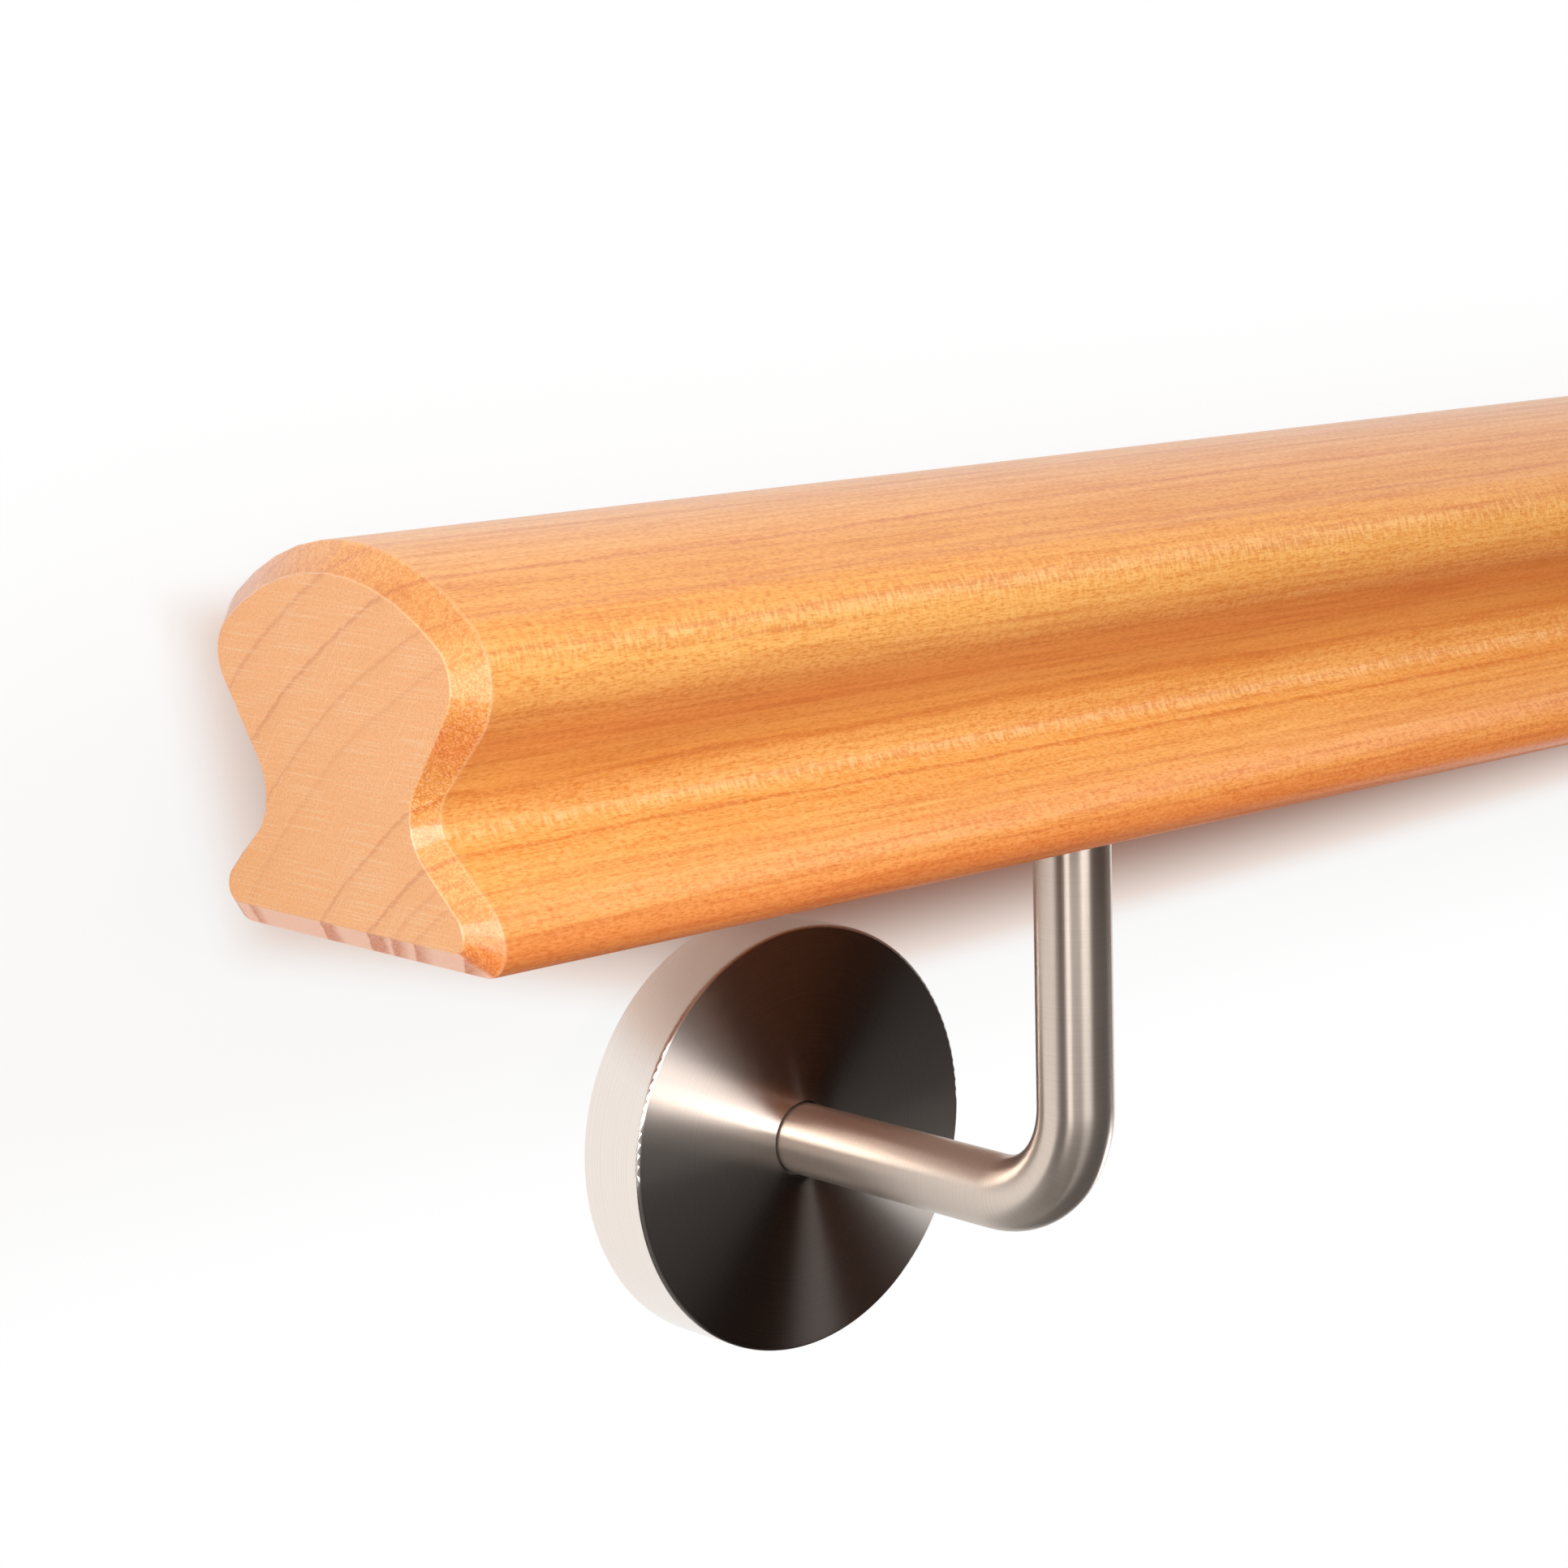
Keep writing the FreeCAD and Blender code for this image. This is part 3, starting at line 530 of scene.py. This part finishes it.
def dress_nodes():
    """Each piece gets its finish; the hidden plates and screws share one."""
    zinc = zinc_plated_steel()
    finishes = {
        "handrail": varnished_cherry(),
        "bracket_rod": ground_rod_steel(),
        "cover_rosette": turned_rosette_steel(),
        "wall_plate": zinc,
        "hanger_screw": zinc,
    }
    for name, node in frame["nodes"].items():
        piece = name.removesuffix("_left").removesuffix("_right")
        node.data.materials.clear()
        node.data.materials.append(finishes[piece])


# Studio, in metres

FLOOR_SIZE = 30.0
# Edges of the shade on the floor: which way is inwards, and how far from the middle. Both ends of
# the floor are alike, so the first number counts from the middle to either end.
SHADE_EDGES = (
    ((-0.90, 0.43, 0.0), 0.418),
    ((-0.33, 0.943, 0.0), 0.156),
    ((0.0, 1.0, 0.0), 0.0405),
    ((0.06, 0.998, 0.0), 0.0242),
    ((0.0, -1.0, 0.0), 0.046),
)
SHADE_CORNER = 0.008
# The shade begins outside its edges and is full this far inside them
SHADE_DEPTH = (-0.018, 0.0125)


def warm_shade(tree, spot, folded):
    """Soft warm shade under the rail and round its ends: what lies inside all of its edges."""
    across = add(tree, "ShaderNodeSeparateXYZ", {0: spot})
    plan = add(tree, "ShaderNodeCombineXYZ", {0: folded.outputs[0], 1: across.outputs[1]})
    inside = 1.0
    for inwards, distance in SHADE_EDGES:
        reach = add(tree, "ShaderNodeVectorMath", {0: plan, 1: inwards}, operation="DOT_PRODUCT")
        within = add(tree, "ShaderNodeMath", {0: reach, 1: distance}, operation="ADD")
        inside = add(tree, "ShaderNodeMath", {0: inside, 1: within, 2: SHADE_CORNER}, operation="SMOOTH_MIN")
    shade = add(tree, "ShaderNodeValToRGB", {"Fac": add(tree, "ShaderNodeMapRange", {
        "Value": inside, 1: SHADE_DEPTH[0], 2: SHADE_DEPTH[1]}, interpolation_type="SMOOTHSTEP")})
    stops = shade.color_ramp.elements
    stops[0].color = (1, 1, 1, 1)
    stops[1].color = linear("#8B5D4B")
    stops.new(0.25).color = linear("#ECDCD3")
    return shade


def lay_floor():
    """Pale floor that looks white, with the object's soft shadow left on it."""
    bpy.ops.mesh.primitive_plane_add(size=FLOOR_SIZE, location=(0, 0, 0))
    floor = bpy.context.object
    floor.name = "floor"
    material, tree = new_material("white_floor")
    spot = add(tree, "ShaderNodeTexCoord").outputs["Object"]
    folded = add(tree, "ShaderNodeSeparateXYZ", {
        0: add(tree, "ShaderNodeVectorMath", {0: spot}, operation="ABSOLUTE")})
    rail_end = add(tree, "ShaderNodeMath", {
        0: folded.outputs[0], 1: RAIL_HALF_LENGTH * MM}, operation="SUBTRACT")
    past_end = add(tree, "ShaderNodeMath", {0: rail_end, 1: 0.0}, operation="MAXIMUM")
    away = add(tree, "ShaderNodeVectorMath", {
        0: add(tree, "ShaderNodeCombineXYZ", {0: past_end, 1: folded.outputs[1]})}, operation="LENGTH")
    # The real shadow shows near the rail only; further out the floor is plain white
    seen_share = add(tree, "ShaderNodeMapRange", {
        "Value": away, 1: 0.03, 2: 0.10, 3: 0.88, 4: 1.0}, interpolation_type="SMOOTHSTEP")
    # What the varnish and the steel mirror of it is dark close to the rail
    mirrored_share = add(tree, "ShaderNodeMapRange", {
        "Value": away, 1: 0.026, 2: 0.045, 3: 0.25, 4: 0.92})
    path = add(tree, "ShaderNodeLightPath")
    mirrored = add(tree, "ShaderNodeMath", {
        0: path.outputs["Is Glossy Ray"], 1: path.outputs["Is Transmission Ray"]}, operation="MAXIMUM")
    seen = add(tree, "ShaderNodeMath", {
        0: path.outputs["Is Camera Ray"], 1: seen_share}, operation="MULTIPLY")
    share = add(tree, "ShaderNodeMix", {0: mirrored, 2: seen, 3: mirrored_share})
    paper = add(tree, "ShaderNodeBsdfDiffuse", {"Color": linear("#E2D3CA")})
    glow = add(tree, "ShaderNodeEmission", {"Color": warm_shade(tree, spot, folded), "Strength": 1.0})
    white = add(tree, "ShaderNodeMixShader", {0: share, 1: paper, 2: glow})
    add(tree, "ShaderNodeOutputMaterial", {"Surface": white})
    floor.data.materials.append(material)


# What polished steel mirrors all round the hanging object: brightness by compass degrees from +x
SURROUND = (
    (-180, 0.02), (-166, 0.02), (-160, 0.50), (-150, 0.40), (-128, 0.24), (-119, 0.08), (-115, 0.30),
    (-106, 1.00), (-93, 0.95), (-84, 0.30), (-76, 0.08), (-62, 0.05), (-54, 0.0), (-38, 0.0),
    (-22, 0.15), (20, 0.30), (50, 0.60), (90, 1.00), (164, 1.00), (169, 0.03), (180, 0.02),
)
# The dimmer a side of the room, the warmer: the powers of its red, green and blue
WARMTH = (1.0, 1.12, 1.17)


def light_world():
    """Soft white light, a little stronger from above, in a room that only steel and varnish mirror."""
    world = bpy.data.worlds.new("studio")
    bpy.context.scene.world = world
    world.use_nodes = True
    tree = world.node_tree
    tree.nodes.clear()
    direction = add(tree, "ShaderNodeVectorRotate", {
        "Vector": add(tree, "ShaderNodeTexCoord").outputs["Generated"], "Rotation": LYING.to_euler(),
    }, rotation_type="EULER_XYZ", invert=True)
    towards = add(tree, "ShaderNodeSeparateXYZ", {0: direction})
    compass = add(tree, "ShaderNodeMath", {
        0: towards.outputs[1], 1: towards.outputs[0]}, operation="ARCTAN2")
    around = add(tree, "ShaderNodeValToRGB", {
        "Fac": add(tree, "ShaderNodeMapRange", {"Value": compass, 1: -math.pi, 2: math.pi})})
    stops = around.color_ramp.elements
    stops[0].color = stops[1].color = (SURROUND[0][1],) * 3 + (1,)
    for degrees, level in SURROUND[1:-1]:
        stops.new((degrees + 180) / 360).color = tuple(level ** power for power in WARMTH) + (1,)
    height = add(tree, "ShaderNodeMapRange", {
        "Value": towards.outputs[2], 1: -0.6, 2: 0.3, 3: 0.28, 4: 0.37}, interpolation_type="SMOOTHSTEP")
    path = add(tree, "ShaderNodeLightPath")
    seen = add(tree, "ShaderNodeMix", {
        0: path.outputs["Is Glossy Ray"], 6: (1, 1, 1, 1), 7: around}, data_type="RGBA")
    strength = add(tree, "ShaderNodeMix", {0: path.outputs["Is Camera Ray"], 2: height, 3: 1.0})
    sky = add(tree, "ShaderNodeBackground", {"Color": seen, "Strength": strength})
    add(tree, "ShaderNodeOutputWorld", {"Surface": sky})


# Soft panels, turned to the near bracket: direction as the object hangs, distance, width, height,
# brightness, and whether steel and varnish mirror the panel
PANELS = {
    "front_panel": ((-0.14, -0.97, 0.13), 1.2, 0.54, 0.20, 13.0, True),
    "camera_side_panel": ((-0.87, -0.48, -0.16), 1.2, 0.30, 0.50, 1.9, True),
    "corner_panel": ((0.655, -0.60, 0.46), 1.2, 0.40, 0.25, 2.6, True),
    "far_end_panel": ((0.88, 0.10, -0.46), 2.4, 0.80, 0.50, 3.0, True),
    # For the bevel's lower strip: mirrored, it would draw a false stripe along the rod
    "end_low_panel": ((-0.85, 0.08, -0.52), 1.2, 0.40, 0.30, 9.8, False),
    "key_panel": ((-0.60, -0.72, 0.34), 0.7, 0.6, 0.4, 3.9, True),
}
# The point of the hanging object that they face, in millimetres
PANELS_AIM = (-400.0, 10.0, 0.0)


def hang_panels():
    """The soft panels, each flat towards the near bracket."""
    aim = LYING @ (Vector(PANELS_AIM) * MM)
    upwards = LYING.to_3x3() @ Vector((0, 0, 1))
    for name, (direction, distance, width, height, brightness, mirrored) in PANELS.items():
        towards = (LYING.to_3x3() @ Vector(direction)).normalized()
        across = upwards.cross(towards).normalized()
        panel = bpy.data.lights.new(name, "AREA")
        panel.shape = "RECTANGLE"
        panel.size = width
        panel.size_y = height
        panel.energy = brightness * math.pi * width * height
        holder = bpy.data.objects.new(name, panel)
        bpy.context.collection.objects.link(holder)
        facing = Matrix((across, towards.cross(across), towards)).transposed().to_4x4()
        holder.matrix_world = Matrix.Translation(aim + towards * distance) @ facing
        holder.visible_glossy = mirrored


# The photograph's view, solved from the object's outlines as it hangs: angles in degrees, lengths
# of the object in millimetres
CAMERA_TURN, CAMERA_RISE, CAMERA_ROLL = -41.75, 10.13, -1.64
CAMERA_DISTANCE = 519.0
CAMERA_TARGET = (76.0 - RAIL_HALF_LENGTH, 0.0, 11.2)
CAMERA_LENS, CAMERA_SENSOR = 85.0, 36.0


def set_camera():
    """The camera on the photograph's view, turned with the lying object."""
    turn, rise, roll = (math.radians(angle) for angle in (CAMERA_TURN, CAMERA_RISE, CAMERA_ROLL))
    back = Vector((math.sin(turn) * math.cos(rise), -math.cos(turn) * math.cos(rise), math.sin(rise)))
    right = Vector((math.cos(turn), math.sin(turn), 0.0))
    up = back.cross(right)
    right, up = right * math.cos(roll) + up * math.sin(roll), up * math.cos(roll) - right * math.sin(roll)
    place = Matrix((right, up, back)).transposed().to_4x4()
    place.translation = (Vector(CAMERA_TARGET) + back * CAMERA_DISTANCE) * MM
    data = bpy.data.cameras.new("camera")
    data.sensor_width = CAMERA_SENSOR
    data.lens = CAMERA_LENS
    data.clip_start = 0.01
    camera = bpy.data.objects.new("camera", data)
    bpy.context.collection.objects.link(camera)
    camera.matrix_world = LYING @ place
    bpy.context.scene.camera = camera


dress_nodes()
lay_floor()
light_world()
hang_panels()
set_camera()
bpy.context.scene.view_settings.view_transform = "Standard"
